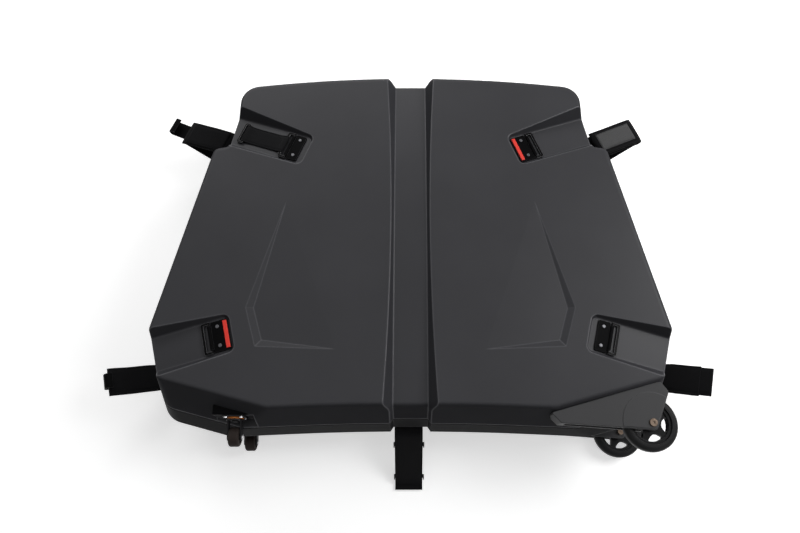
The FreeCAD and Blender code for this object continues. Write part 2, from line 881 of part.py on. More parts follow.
def side_strap(middle, end, sleeve_s, finish):
    """Webbing and sleeve along one path, ending in a hook, a fold or a tongue."""
    tail = [(end[0], end[1], 0)]
    inner_width = strap_width
    before = V(middle[-1][0], middle[-1][1], 0)
    course = (V(end[0], end[1], 0) - before).normalize()
    if finish == "tongue":
        short = V(end[0], end[1], 0) - course * tongue_length
        tail = [(short.x, short.y, 0)]
        inner_width = tongue_width
    if finish == "fold":
        rise = V(-course.y, course.x, 0) * fold_rise
        tip = V(end[0], end[1], 0)
        back = tip + rise - course * fold_length
        over = tip + rise
        tail = [(tip.x, tip.y, fold_round), (over.x, over.y, fold_round), (back.x, back.y, 0)]
    stop = V(end[0], end[1], 0) - course * overrun
    inner = [(sleeve_s, strap_height(sleeve_s), 0)] + middle + [(stop.x, stop.y, 0)]
    lap = sleeve_s + overrun
    plain = [(strap_start, strap_height(strap_start), 0), (lap, strap_height(lap), 0)]
    outer = [(sleeve_s, strap_height(sleeve_s), 0)] + middle + tail
    bands = [ribbon(inner, strap_thick, inner_width), ribbon(outer, sleeve_thick, sleeve_width)]
    return ribbon(plain, strap_thick, strap_width).fuse(bands)


def hook(middle, end, reach, width):
    """Flat hook that carries on from a strap's end and curls up and back."""
    before = V(middle[-1][0], middle[-1][1], 0)
    tip = V(end[0], end[1], 0)
    course = (tip - before).normalize()
    rise = V(-course.y, course.x, 0)
    bend = tip + course * reach
    top = bend + rise * hook_rise
    back = top - course * hook_return
    path = [(tip.x, tip.y, 0), (bend.x, bend.y, hook_curl), (top.x, top.y, hook_curl), (back.x, back.y, 0)]
    return ribbon(path, hook_thick, width)


upper_strap_frame = strap_frame(upper_channel_x, upper_channel_y, upper_channel_turn)
lower_strap_frame = strap_frame(lower_channel_x, lower_channel_y, lower_channel_turn)
strap_rows = [
    ("upper_left", upper_strap_frame, upper_run_out, upper_end, sleeve_start_s, "hook"),
    ("upper_right", upper_strap_frame, upper_run_out, upper_end, sleeve_start_s, "fold"),
    ("lower_left", lower_strap_frame, lower_run_out, lower_end, lower_sleeve_start_s, "hook"),
    ("lower_right", lower_strap_frame, lower_run_out, lower_end, lower_sleeve_start_s, "tongue"),
]
hook_sizes = {"upper_left": (hook_reach, hook_width), "lower_left": (lower_hook_reach, lower_hook_width)}
for corner, frame, middle, end, sleeve_s, finish in strap_rows:
    channel, left = corners[corner]
    strap = on_front(side_strap(middle, end, sleeve_s, finish), frame, left)
    keep("side_strap_" + corner, strap.cut(on_rear(eye, channel, left)))
    if finish == "hook":
        reach, width = hook_sizes[corner]
        keep("strap_hook_" + corner, on_front(hook(middle, end, reach, width), frame, left))

# Bottom strap: up the rear groove, out over the edge and down to the floor
belt_frame = FreeCAD.Placement(V(belt_x, 0, 0), FreeCAD.Rotation(UP, -90))
wall_lean = math.hypot(1, bottom_run / half_depth)


def belt_reach(z, gap):
    """Distance towards the wheels of a line that lies a gap off the rear groove's floor."""
    return -groove_bottom(-z) + gap * wall_lean


belt_gap = belt_thick / 2 + clearance
belt_floor_z = belt_rest + belt_thick / 2 - half_depth
belt_path = [
    (belt_reach(-belt_low, belt_gap), -belt_low, 0),
    (belt_reach(-belt_lip, belt_gap), -belt_lip, belt_lip_bend),
    (belt_out_y, -belt_out_z, belt_out_bend),
    (belt_floor_y, belt_floor_z, belt_floor_bend),
    (belt_end_y, belt_floor_z, 0),
]
belt = at(ribbon(belt_path, belt_thick, belt_width), belt_frame).cut(rivet_holes)
keep("bottom_strap", belt)


def slide():
    """Bar under a level strap with a lip at each edge of it."""
    half = slide_width / 2
    high = -belt_gap
    low = high - slide_thick
    base = block(-slide_length / 2, slide_length / 2, -half, half, low, high)
    lip = block(-slide_length / 2, slide_length / 2, half - slide_lip_wall, half, low, high + slide_lip)
    return base.fuse([lip, mirrored(lip, ALONG)]).removeSplitter()


slant = V(belt_floor_y - belt_out_y, 0, belt_floor_z + belt_out_z)
slant_turn = FreeCAD.Rotation(ALONG, -math.degrees(math.atan2(slant.z, slant.x)))
slides = []
for share in (upper_slide_share, lower_slide_share):
    place = V(belt_out_y, 0, -belt_out_z) + slant * share
    slides.append(at(at(slide(), FreeCAD.Placement(place, slant_turn)), belt_frame))
keep("bottom_strap_slides", group(slides))
anchor_gap = belt_thick + 2 * clearance + anchor_thick / 2
anchor_path = [
    (belt_reach(-belt_low, anchor_gap), -belt_low, 0),
    (belt_reach(anchor_height - belt_low, anchor_gap), anchor_height - belt_low, 0),
]
anchor = at(ribbon(anchor_path, anchor_thick, anchor_width), belt_frame)
rivets = []
for place in rivet_places:
    outer = -belt_reach(rivet_z, anchor_gap)
    rivets.append(disc(rivet_radius, V(place.x, outer, place.z), place + ALONG * (shell_wall + overrun)))
keep("bottom_strap_anchor", anchor.fuse(rivets))

# Main wheels: tyre on a rim with a windowed web that turns on two bearings
wheel_low = wheel_z - wheel_width / 2
hub = spindle + UP * wheel_z


def wheel_disc(radius, width):
    """Disc about the wheel's axle, centred on the wheel."""
    return disc(radius, hub - UP * (width / 2), hub + UP * (width / 2))


tyre = wheel_disc(wheel_radius, wheel_width)
tyre = tyre.makeFillet(tread_round, [edge for edge in tyre.Edges if edge.Closed])
tyre = tyre.cut(wheel_disc(tyre_inner, wheel_width + overrun))
rim_ring = wheel_disc(tyre_inner - running_gap, rim_width).cut(wheel_disc(rim_inner, wheel_width))
web_depth = rim_inner - hub_radius
window_side = math.radians(window_half_turn)
window_points = [
    (hub_radius + web_depth * window_apex_share, 0),
    (rim_inner * math.cos(window_side), -rim_inner * math.sin(window_side)),
    (rim_inner, 0),
    (rim_inner * math.cos(window_side), rim_inner * math.sin(window_side)),
]
window_shares = [window_apex_round_share, window_corner_round_share, window_rim_round_share,
                 window_corner_round_share]
window = prism(window_points, [web_depth * share for share in window_shares], -wheel_width, wheel_width)
windows = []
for k in range(window_count):
    turn = FreeCAD.Rotation(UP, window_start + 360 * k / window_count)
    windows.append(at(window, FreeCAD.Placement(hub, turn)))
web = wheel_disc((tyre_inner + rim_inner) / 2, web_thick).cut(windows)
wheel_rim = rim_ring.fuse([web, wheel_disc(hub_radius, hub_width)])
bore = wheel_disc(axle_head_radius, wheel_width)
seats = []
bearings = []
for side in (1, -1):
    outer = hub + UP * (side * hub_width / 2)
    inner = outer - UP * (side * bearing_width)
    past = UP * (side * overrun)
    seats.append(disc(bearing_radius, inner, outer + past))
    ring = disc(bearing_radius - running_gap, inner, outer)
    bearings.append(ring.cut(disc(axle_radius + running_gap, inner - past, outer + past)))
wheel_rim = wheel_rim.cut([bore] + seats).removeSplitter()

# Wheel guard: a housing on the cut-back corner that carries the axle in two cheeks
cheek_low = wheel_low - guard_wheel_room / 2
cheek_high = guard_top - guard_cheek
guard_rows = [
    (guard_tip_along, guard_tip_out),
    (guard_crest_along, guard_crest_out),
    (guard_side_along, guard_side_out),
    (guard_foot_along, wheel_out + guard_foot_past),
    (guard_heel_along, wheel_out - guard_heel_short),
    (guard_toe_along, guard_toe_out),
]
guard_points = [toe + facet_along * along + facet_out * out for along, out in guard_rows]
guard_rounds = [guard_edge, guard_round, guard_round, guard_round, guard_round, guard_edge]
guard = prism(guard_points, guard_rounds, cheek_low - guard_inner_cheek, guard_top)
guard_lip = edges_where(guard, lambda point: point.z > guard_top - clearance)
guard = guard.makeFillet(guard_lip_round, guard_lip)
pad_top = guard_top + pad_rise
pad = disc(wheel_radius + pad_margin, spindle + UP * (guard_top - overrun), spindle + UP * pad_top)
pad = pad.common(prism(shifted(guard_points, [-pad_inset] * len(guard_points)), guard_rounds, 0, half_depth))
pad = pad.makeFillet(pad_round, edges_where(pad, lambda point: point.z > pad_top - clearance))
guard = guard.fuse(pad)
room_shifts = [-guard_roof, -guard_roof, overrun, overrun, overrun, -guard_roof]
room = prism(shifted(guard_points, room_shifts), [0] * len(guard_points), cheek_low, cheek_high)
wheel_room = disc(wheel_radius + guard_wheel_room, spindle + UP * cheek_low, spindle + UP * cheek_high)
axle_hole = disc(axle_radius + running_gap, spindle, spindle + UP * (half_depth + overrun))
guard = guard.cut([plain_form(-clearance, 0, half_depth + clearance), room, wheel_room, axle_hole])
head_low = spindle + UP * pad_top
axle_low = spindle + UP * (cheek_low - guard_inner_cheek - axle_nut_height)
axle_head = disc(axle_head_radius, head_low, head_low + UP * axle_head_height)
head_rim = edges_where(axle_head, lambda point: point.z > pad_top + clearance)
axle_head = axle_head.makeFillet(axle_head_round, head_rim)
key = disc(axle_key_radius, head_low + UP * (axle_head_height - axle_key_depth), head_low + UP * half_depth)
axle_nut = disc(axle_nut_radius, axle_low, axle_low + UP * axle_nut_height)
axle = axle_head.cut(key).fuse([disc(axle_radius, axle_low, head_low), axle_nut])
wheel_pieces = (("wheel_tyre_", tyre), ("wheel_rim_", wheel_rim), ("wheel_bearings_", group(bearings)),
                ("wheel_guard_", guard), ("wheel_axle_", axle))
for side, flip in (("front", False), ("rear", True)):
    for name, shape in wheel_pieces:
        keep(name + side, mirrored(shape, UP) if flip else shape)

# Casters, drawn in a frame on the seat with X across, Y up off the floor and Z towards the tread
half_pocket = pocket_width / 2 - clearance
pod = block(caster_x - half_pocket, caster_x + half_pocket, caster_seat, caster_seat + pocket_reach,
            pocket_low + clearance, pocket_high)
pod = pod.makeFillet(pod_edge, [edge for edge in pod.Edges if edge.CenterOfMass.z > pocket_high - clearance])
pod = pod.cut([plain_form(-clearance, 0, half_depth + clearance)] + bolt_holes)
half_plate = caster_plate_size / 2
plate_corners = [(-half_plate, half_plate), (half_plate, half_plate), (half_plate, -half_plate),
                 (-half_plate, -half_plate)]
caster_plate = prism(plate_corners, [caster_plate_round] * 4, 0, caster_plate_thick)
race_low = caster_plate_thick
race_top = race_low + race_height
head_start = race_top + clearance
head_end = head_start + fork_head_thick
king_end = head_end + king_gap + king_head_height
king = disc(king_radius, V(0, 0, 0), UP * king_end).fuse(disc(king_head_radius, UP * (head_end + king_gap),
                                                             UP * king_end))
caster_plate = caster_plate.fuse(king)
bolts = []
for place in bolt_places:
    caster_plate = caster_plate.cut(bolt_hole.translated(place + UP * race_low))
    under = place + UP * race_low
    tip = place - UP * (caster_bolt_length - overrun)
    head = disc(caster_bolt_head_radius, under, under + UP * caster_bolt_head_height)
    bolts.append(head.fuse(disc(caster_bolt_radius, tip, under)))
race = disc(race_radius, UP * race_low, UP * race_top)
race = race.cut(disc(race_bore, V(0, 0, 0), UP * (race_top + overrun)))
fork = disc(fork_head_radius, UP * head_start, UP * head_end)
fork = fork.cut(disc(king_radius + running_gap, V(0, 0, 0), UP * king_end))
axle_drop = king_end + caster_wheel_room + caster_wheel_radius
leg_near = caster_wheel_width / 2 + fork_leg_gap
leg_far = leg_near + fork_leg_thick
leg_points = [
    (-fork_leg_width / 2, head_start),
    (-caster_trail - fork_leg_foot, axle_drop + fork_leg_foot),
    (fork_leg_foot - caster_trail, axle_drop + fork_leg_foot),
    (fork_leg_width / 2, head_start),
]
leg_rounds = [0, fork_leg_foot / 2, fork_leg_foot / 2, 0]
pin = disc(caster_axle_radius + running_gap, V(-half_pocket, -caster_trail, axle_drop),
           V(half_pocket, -caster_trail, axle_drop))
legs = []
for start in (leg_near, -leg_far):
    legs.append(Part.Face(outline(leg_points, leg_rounds, sideways(start))).extrude(ACROSS * fork_leg_thick))
fork = fork.fuse(legs).cut(pin).removeSplitter()
spin = V(0, -caster_trail, axle_drop)
half_wheel = ACROSS * (caster_wheel_width / 2)
caster_wheel = disc(caster_wheel_radius, spin - half_wheel, spin + half_wheel)
treads = [edge for edge in caster_wheel.Edges if edge.Closed]
caster_wheel = caster_wheel.makeFillet(caster_tread_round, treads)
dishes = [pin]
for side in (1, -1):
    face = spin + half_wheel * side
    floor = face - ACROSS * (side * caster_dish)
    dish_radius = caster_wheel_radius - caster_tread_round - caster_dish
    dish = disc(dish_radius, floor, face + ACROSS * (side * overrun))
    dishes.append(dish.cut(disc(caster_hub_radius, floor, face + ACROSS * (side * overrun))))
caster_wheel = caster_wheel.cut(dishes)
pin_end = ACROSS * leg_far
head_reach = ACROSS * (leg_far + caster_axle_head_height)
caster_axle = disc(caster_axle_radius, spin - pin_end, spin + pin_end)
caster_axle = caster_axle.fuse([disc(caster_axle_head_radius, spin + pin_end, spin + head_reach),
                                disc(caster_axle_head_radius, spin - head_reach, spin - pin_end)])
rear_spin = FreeCAD.Placement(V(caster_x, caster_seat, -caster_z), FreeCAD.Rotation(ACROSS, 90))
caster_pieces = (("caster_plate_", caster_plate), ("caster_bolts_", group(bolts)), ("caster_race_", race),
                 ("caster_fork_", fork), ("caster_wheel_", caster_wheel), ("caster_axle_", caster_axle))
keep("caster_pod_front", pod)
keep("caster_pod_rear", mirrored(pod, UP))
for name, shape in caster_pieces:
    keep(name + "front", at(shape, caster_frame))
    keep(name + "rear", at(shape, rear_spin))

# Foam liners on the flat of each face, and straps over the rear ones
foam_top = half_depth - shell_wall - clearance
foam_base = foam_top - foam_thick
foam_points = [(foam_near, foam_high), (foam_far, foam_high), (foam_far, foam_low), (foam_near, foam_low)]
foam = prism(foam_points, [foam_round] * 4, foam_base, foam_top).cut(panel_cutter(shell_wall + clearance))
front_foam = group(both_sides(foam))
keep("front_foam", front_foam)
keep("rear_foam", mirrored(front_foam, UP))
half_strap = frame_strap_width / 2
half_anchor = frame_anchor_width / 2
anchor_far = foam_far + frame_anchor_gap + frame_anchor_length
anchor_near = foam_near - frame_anchor_gap - frame_anchor_length
frame_strap = block(anchor_near, anchor_far, frame_strap_y - half_strap, frame_strap_y + half_strap,
                    foam_base - clearance - frame_strap_thick, foam_base - clearance)
keep("frame_straps", mirrored(group(both_sides(frame_strap)), UP))
frame_anchors = []
for start in (anchor_near, foam_far + frame_anchor_gap):
    frame_anchors.append(block(start, start + frame_anchor_length, frame_strap_y - half_anchor,
                               frame_strap_y + half_anchor, foam_base, half_depth - shell_wall))
keep("frame_strap_anchors", mirrored(group(both_sides(group(frame_anchors))), UP))

# Export, moved so that the origin is the middle of the footprint on the floor
for name, shape in nodes.items():
    placed = shape.copy()
    placed.translate(V(0, footprint_shift, half_depth))
    if not placed.isValid():
        print("not valid:", name)
    placed.exportStep("parts/" + name + ".step")
print(len(nodes), "nodes")
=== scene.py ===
# %% [markdown]
# # A hard bicycle case, closed and lying on its rear half
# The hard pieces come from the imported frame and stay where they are. This file gives them their finishes
# and makes the soft pieces: padded side straps, webbing, the bottom strap, foam liners and tie-down
# straps.

# %% Load the frame
import bpy
import bmesh
import math
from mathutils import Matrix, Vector, noise


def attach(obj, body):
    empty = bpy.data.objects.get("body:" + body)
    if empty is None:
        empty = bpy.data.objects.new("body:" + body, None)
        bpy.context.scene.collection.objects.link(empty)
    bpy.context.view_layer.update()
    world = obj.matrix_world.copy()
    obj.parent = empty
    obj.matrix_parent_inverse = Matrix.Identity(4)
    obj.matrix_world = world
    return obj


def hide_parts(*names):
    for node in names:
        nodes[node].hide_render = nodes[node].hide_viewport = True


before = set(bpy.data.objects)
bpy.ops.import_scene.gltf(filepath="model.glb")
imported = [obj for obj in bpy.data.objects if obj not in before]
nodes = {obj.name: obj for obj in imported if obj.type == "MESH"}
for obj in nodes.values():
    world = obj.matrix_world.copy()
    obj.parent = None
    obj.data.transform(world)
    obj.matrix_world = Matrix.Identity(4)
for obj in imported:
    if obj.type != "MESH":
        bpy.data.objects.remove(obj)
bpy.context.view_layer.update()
scene = bpy.context.scene
MM = 0.001
HALF_DEPTH = 145.0
print("hard pieces in the frame:", len(nodes))

# %% [markdown]
# ## Camera
# The case is seen from above and a little from its wheel edge. The camera could be aimed with a
# constraint, but a place and one tilt are easier to read: no rotation looks straight down, and a tilt
# about X looks forward.

# %% Camera above the wheel edge
FRAME_WIDTH = 800
lens = bpy.data.cameras.new("case_camera")
lens.sensor_width = 36.0
lens.lens = 27.0
lens.shift_x = -10.5 / FRAME_WIDTH
camera = bpy.data.objects.new("case_camera", lens)
scene.collection.objects.link(camera)
camera.location = (0.0, -0.550, 1.660)
camera.rotation_euler = (math.radians(20.43), 0.0, 0.0)
scene.camera = camera
scene.view_settings.view_transform = "Standard"
print("camera height:", round(camera.location.z, 3), "m")

# %% [markdown]
# ## Studio light and floor
# A satin grey shell shows its form by how its banks catch large soft lamps. One stands on the right, a
# wide one behind, a weaker one fills from above, a small one reaches the wheels, and the world gives a
# low even level. World and floor are made white for the camera and for mirror rays in their own nodes. So
# no extra light falls on the case, and its shadow stays. A bright sheet below it would also turn the dark
# walls grey. The floor glows more with distance, so that it meets the white world without a line.


# %% Lamps and world
def soft_lamp(name, place, target, wide, high, power):
    """A flat studio lamp that looks at a point."""
    lamp = bpy.data.lights.new(name, "AREA")
    lamp.shape = "RECTANGLE"
    lamp.size = wide
    lamp.size_y = high
    lamp.energy = power
    holder = bpy.data.objects.new(name, lamp)
    scene.collection.objects.link(holder)
    holder.location = place
    holder.rotation_euler = (Vector(target) - Vector(place)).to_track_quat("-Z", "Y").to_euler()


def seen_straight(ns, ls):
    """A socket that is 1 for camera, mirror and glass rays, and 0 for scattered light."""
    rays = ns.new("ShaderNodeLightPath")
    mirrored = ns.new("ShaderNodeMath")
    seen = ns.new("ShaderNodeMath")
    for node in (mirrored, seen):
        node.operation = "MAXIMUM"
    ls.new(rays.outputs["Is Glossy Ray"], mirrored.inputs[0])
    ls.new(rays.outputs["Is Transmission Ray"], mirrored.inputs[1])
    ls.new(rays.outputs["Is Camera Ray"], seen.inputs[0])
    ls.new(mirrored.outputs["Value"], seen.inputs[1])
    return seen.outputs["Value"]


soft_lamp("right_lamp", (2.4, 0.6, 2.5), (0.2, 0.0, 0.2), wide=1.6, high=1.6, power=58.0)
soft_lamp("back_lamp", (-1.1, 2.8, 2.3), (0.0, 0.1, 0.2), wide=3.2, high=1.2, power=48.0)
soft_lamp("top_lamp", (0.5, 0.8, 3.6), (0.0, 0.0, 0.2), wide=4.4, high=4.4, power=26.0)
soft_lamp("wheel_lamp", (1.9, -1.6, 1.5), (0.5, -0.4, 0.15), wide=0.8, high=0.8, power=4.0)
world = bpy.data.worlds.new("studio")
scene.world = world
world.use_nodes = True
air, wires = world.node_tree.nodes, world.node_tree.links
sky = air["Background"]
sky.inputs["Color"].default_value = (1.0, 1.0, 1.0, 1.0)
level = air.new("ShaderNodeMapRange")
level.inputs["To Min"].default_value = 0.10
level.inputs["To Max"].default_value = 1.0
wires.new(seen_straight(air, wires), level.inputs["Value"])
wires.new(level.outputs["Result"], sky.inputs["Strength"])


# %% Pale floor
def new_finish(name):
    """An empty material with its node tree, and the shader that ends it."""
    made = bpy.data.materials.new(name)
    made.use_nodes = True
    return made, made.node_tree.nodes, made.node_tree.links, made.node_tree.nodes["Principled BSDF"]


FLOOR_REACH = 30.0
FLOOR_DROP = 0.6 * MM
floor_mesh = bpy.data.meshes.new("studio_floor")
shape = bmesh.new()
bmesh.ops.create_grid(shape, x_segments=8, y_segments=8, size=FLOOR_REACH)
shape.to_mesh(floor_mesh)
shape.free()
floor = bpy.data.objects.new("studio_floor", floor_mesh)
scene.collection.objects.link(floor)
floor.location.z = -FLOOR_DROP
floor_finish, ns, ls, shader = new_finish("floor_white")
shader.inputs["Roughness"].default_value = 0.9
shader.inputs["Specular IOR Level"].default_value = 0.0
seen = seen_straight(ns, ls)
spot = ns.new("ShaderNodeTexCoord")
far = ns.new("ShaderNodeVectorMath")
far.operation = "LENGTH"
fade = ns.new("ShaderNodeMapRange")
fade.inputs["From Min"].default_value = 1.6
fade.inputs["From Max"].default_value = 6.0
fade.inputs["To Min"].default_value = 0.55
fade.inputs["To Max"].default_value = 1.0
glow = ns.new("ShaderNodeMath")
glow.operation = "MULTIPLY"
paint = ns.new("ShaderNodeMapRange")
paint.inputs["To Min"].default_value = 0.15
paint.inputs["To Max"].default_value = 0.95
ls.new(spot.outputs["Object"], far.inputs[0])
ls.new(far.outputs["Value"], fade.inputs["Value"])
ls.new(fade.outputs["Result"], glow.inputs[0])
ls.new(seen, glow.inputs[1])
ls.new(seen, paint.inputs["Value"])
shader.inputs["Emission Color"].default_value = (1.0, 1.0, 1.0, 1.0)
ls.new(glow.outputs["Value"], shader.inputs["Emission Strength"])
ls.new(paint.outputs["Result"], shader.inputs["Base Color"])
floor_mesh.materials.append(floor_finish)
print("floor:", tuple(round(x, 2) for x in floor.dimensions))

# %% [markdown]
# ## Moulded plastic
# The shells are thermoformed sheet with a fine grain. A flat colour would look like paint, so the grain
# is a small noise in the bump, the gloss wanders a little, and a Bevel node rounds the light on each
# moulded edge. Drawn edges also get a painted highlight: their colour is lifted to a paler line, and
# their gloss with it, where the softened normal leaves the flat one. The sheet is stretched down the walls
# and dulls there, so gloss and roughness follow how level a face lies.


# %% Finish for moulded pieces
WALL_TO_FLAT = (0.8, 0.97)
EDGE_TO_FLAT = (0.965, 0.9995)


def moulded(name, colour, rough, grain, depth, edge, gloss, edge_highlight_gain=1.25, wall=None):
    """Grained plastic with drifting colour and roughness, painted highlights on edges, walls as (rough,
    gloss).
    """
    made, ns, ls, shader = new_finish(name)
    spot = ns.new("ShaderNodeTexCoord")
    drift = ns.new("ShaderNodeTexNoise")
    drift.inputs["Scale"].default_value = 5.0
    drift.inputs["Detail"].default_value = 4.0
    tint = ns.new("ShaderNodeValToRGB")
    tint.color_ramp.elements[0].position = 0.3
    tint.color_ramp.elements[1].position = 0.7
    tint.color_ramp.elements[0].color = (*[c * 0.93 for c in colour], 1.0)
    tint.color_ramp.elements[1].color = (*[c * 1.07 for c in colour], 1.0)
    skin = ns.new("ShaderNodeTexNoise")
    skin.inputs["Scale"].default_value = grain
    skin.inputs["Detail"].default_value = 2.0
    sheen = ns.new("ShaderNodeMapRange")
    sheen.inputs["To Min"].default_value = rough - 0.06
    sheen.inputs["To Max"].default_value = rough + 0.06
    wall_rough, wall_gloss = wall or (rough, gloss)
    facing = ns.new("ShaderNodeSeparateXYZ")
    upright = ns.new("ShaderNodeMath")
    upright.operation = "ABSOLUTE"
    level = ns.new("ShaderNodeMapRange")
    level.inputs["From Min"].default_value = WALL_TO_FLAT[0]
    level.inputs["From Max"].default_value = WALL_TO_FLAT[1]
    ls.new(spot.outputs["Normal"], facing.inputs["Vector"])
    ls.new(facing.outputs["Z"], upright.inputs[0])
    ls.new(upright.outputs["Value"], level.inputs["Value"])
    dull = ns.new("ShaderNodeMix")
    dull.inputs["A"].default_value = wall_rough
    polish = ns.new("ShaderNodeMix")
    polish.inputs["A"].default_value = wall_gloss
    polish.inputs["B"].default_value = gloss
    for node in (dull, polish):
        ls.new(level.outputs["Result"], node.inputs["Factor"])
    soft = ns.new("ShaderNodeBevel")
    soft.samples = 8
    soft.inputs["Radius"].default_value = edge
    flat = ns.new("ShaderNodeNewGeometry")
    turned = ns.new("ShaderNodeVectorMath")
    turned.operation = "DOT_PRODUCT"
    # Painted highlight: the colour is scaled up where the softened normal leaves the flat one, and the
    # gloss with it.
    painted_highlight = ns.new("ShaderNodeMapRange")
    shine = ns.new("ShaderNodeMapRange")
    for node, at_edge in ((painted_highlight, edge_highlight_gain), (shine, gloss * edge_highlight_gain)):
        node.inputs["From Min"].default_value = EDGE_TO_FLAT[0]
        node.inputs["From Max"].default_value = EDGE_TO_FLAT[1]
        node.inputs["To Min"].default_value = at_edge
        ls.new(turned.outputs["Value"], node.inputs["Value"])
    ls.new(polish.outputs["Result"], shine.inputs["To Max"])
    tint_with_highlight = ns.new("ShaderNodeVectorMath")
    tint_with_highlight.operation = "SCALE"
    bump = ns.new("ShaderNodeBump")
    bump.inputs["Strength"].default_value = 0.35
    bump.inputs["Distance"].default_value = depth
    for texture in (drift, skin):
        ls.new(spot.outputs["Object"], texture.inputs["Vector"])
    ls.new(drift.outputs["Fac"], tint.inputs["Fac"])
    ls.new(soft.outputs["Normal"], turned.inputs[0])
    ls.new(flat.outputs["Normal"], turned.inputs[1])
    ls.new(tint.outputs["Color"], tint_with_highlight.inputs["Vector"])
    ls.new(painted_highlight.outputs["Result"], tint_with_highlight.inputs["Scale"])
    ls.new(tint_with_highlight.outputs["Vector"], shader.inputs["Base Color"])
    ls.new(drift.outputs["Fac"], sheen.inputs["Value"])
    ls.new(sheen.outputs["Result"], dull.inputs["B"])
    ls.new(dull.outputs["Result"], shader.inputs["Roughness"])
    ls.new(skin.outputs["Fac"], bump.inputs["Height"])
    ls.new(soft.outputs["Normal"], bump.inputs["Normal"])
    ls.new(bump.outputs["Normal"], shader.inputs["Normal"])
    ls.new(shine.outputs["Result"], shader.inputs["Specular IOR Level"])
    return made


# The edge factor of each finish lifts the colour of its edges as a painted highlight, and its gloss; the
# bars take the strongest.
shell_grain = moulded("shell_grain", (0.0383, 0.0383, 0.0422), rough=0.37, grain=1400.0, depth=0.00010,
                      edge=0.005, gloss=0.14, edge_highlight_gain=2.0, wall=(0.62, 0.02))
rim_satin = moulded("rim_satin", (0.017, 0.017, 0.018), rough=0.42, grain=900.0, depth=0.00006,
                    edge=0.0016, gloss=0.12, edge_highlight_gain=1.8, wall=(0.5, 0.035))
guard_grain = moulded("guard_grain", (0.046, 0.046, 0.0477), rough=0.5, grain=1100.0, depth=0.00012,
                      edge=0.002, gloss=0.14, edge_highlight_gain=1.5)
fitting_black = moulded("fitting_black", (0.0035, 0.0035, 0.0038), rough=0.4, grain=1200.0, depth=0.00005,
                        edge=0.0009, gloss=0.015, edge_highlight_gain=7.0)
bar_black = moulded("bar_black", (0.0035, 0.0035, 0.0038), rough=0.3, grain=1200.0, depth=0.00005,
                    edge=0.0012, gloss=0.03, edge_highlight_gain=22.0)
wheel_black = moulded("wheel_black", (0.006, 0.006, 0.0065), rough=0.36, grain=1000.0, depth=0.00005,
                      edge=0.0012, gloss=0.07, edge_highlight_gain=3.0)
seal_rubber = moulded("seal_rubber", (0.010, 0.010, 0.010), rough=0.7, grain=1500.0, depth=0.00006,
                      edge=0.0006, gloss=0.08)
tyre_rubber = moulded("tyre_rubber", (0.007, 0.007, 0.0075), rough=0.42, grain=1600.0, depth=0.00008,
                      edge=0.001, gloss=0.1, edge_highlight_gain=2.5)
tread_brown = moulded("tread_brown", (0.026, 0.020, 0.0175), rough=0.6, grain=1600.0, depth=0.00008,
                      edge=0.001, gloss=0.1)
tab_red = moulded("tab_red", (0.82, 0.055, 0.04), rough=0.38, grain=1300.0, depth=0.00004,
                  edge=0.0008, gloss=0.2)
race_orange = moulded("race_orange", (0.72, 0.22, 0.03), rough=0.35, grain=900.0, depth=0.00004,
                      edge=0.0006, gloss=0.3)
print("moulded finishes:", len(bpy.data.materials) - 1)

# %% [markdown]
# ## Metal
# Screws and bolts are steel, the caster forks and plates are painted black, and the axle heads are brown,
# dulled bolts. Fine streaks in the roughness and small stains in the colour keep them from looking like
# mirrors.


# %% Finish for metal pieces
def metal(name, bright, dull, rough, edge, metallic):
    """Streaked metal with a slow stain."""
    made, ns, ls, shader = new_finish(name)
    spot = ns.new("ShaderNodeTexCoord")
    stretch = ns.new("ShaderNodeMapping")
    stretch.inputs["Scale"].default_value = (1.0, 1.0, 9.0)
    streak = ns.new("ShaderNodeTexNoise")
    streak.inputs["Scale"].default_value = 420.0
    stain = ns.new("ShaderNodeTexNoise")
    stain.inputs["Scale"].default_value = 130.0
    tint = ns.new("ShaderNodeValToRGB")
    tint.color_ramp.elements[0].color = (*dull, 1.0)
    tint.color_ramp.elements[1].color = (*bright, 1.0)
    sheen = ns.new("ShaderNodeMapRange")
    sheen.inputs["To Min"].default_value = rough - 0.08
    sheen.inputs["To Max"].default_value = rough + 0.1
    soft = ns.new("ShaderNodeBevel")
    soft.samples = 4
    soft.inputs["Radius"].default_value = edge
    bump = ns.new("ShaderNodeBump")
    bump.inputs["Strength"].default_value = 0.2
    bump.inputs["Distance"].default_value = 0.00005
    ls.new(spot.outputs["Object"], stretch.inputs["Vector"])
    ls.new(stretch.outputs["Vector"], streak.inputs["Vector"])
    ls.new(spot.outputs["Object"], stain.inputs["Vector"])
    ls.new(stain.outputs["Fac"], tint.inputs["Fac"])
    ls.new(tint.outputs["Color"], shader.inputs["Base Color"])
    ls.new(streak.outputs["Fac"], sheen.inputs["Value"])
    ls.new(sheen.outputs["Result"], shader.inputs["Roughness"])
    ls.new(streak.outputs["Fac"], bump.inputs["Height"])
    ls.new(soft.outputs["Normal"], bump.inputs["Normal"])
    ls.new(bump.outputs["Normal"], shader.inputs["Normal"])
    shader.inputs["Metallic"].default_value = metallic
    shader.inputs["Specular IOR Level"].default_value = 0.12
    return made


bright_steel = metal("bright_steel", (0.72, 0.72, 0.73), (0.5, 0.5, 0.52),
                     rough=0.26, edge=0.0005, metallic=1.0)
screw_steel = metal("screw_steel", (0.10, 0.10, 0.105), (0.05, 0.05, 0.055),
                    rough=0.34, edge=0.0012, metallic=1.0)
axle_bronze = metal("axle_bronze", (0.135, 0.103, 0.08), (0.06, 0.043, 0.032),
                    rough=0.42, edge=0.0006, metallic=1.0)
caster_steel = metal("caster_steel", (0.012, 0.012, 0.013), (0.006, 0.006, 0.007),
                     rough=0.4, edge=0.0006, metallic=0.0)
print("metal finishes made")

# %% [markdown]
# ## Dress the hard pieces
# Each hard piece keeps its shape and takes the finish that its name asks for. A table of name beginnings
# is shorter than one line per piece. The first row that fits counts, so the screws stand before the
# plates. A hard piece with no row stops the script.

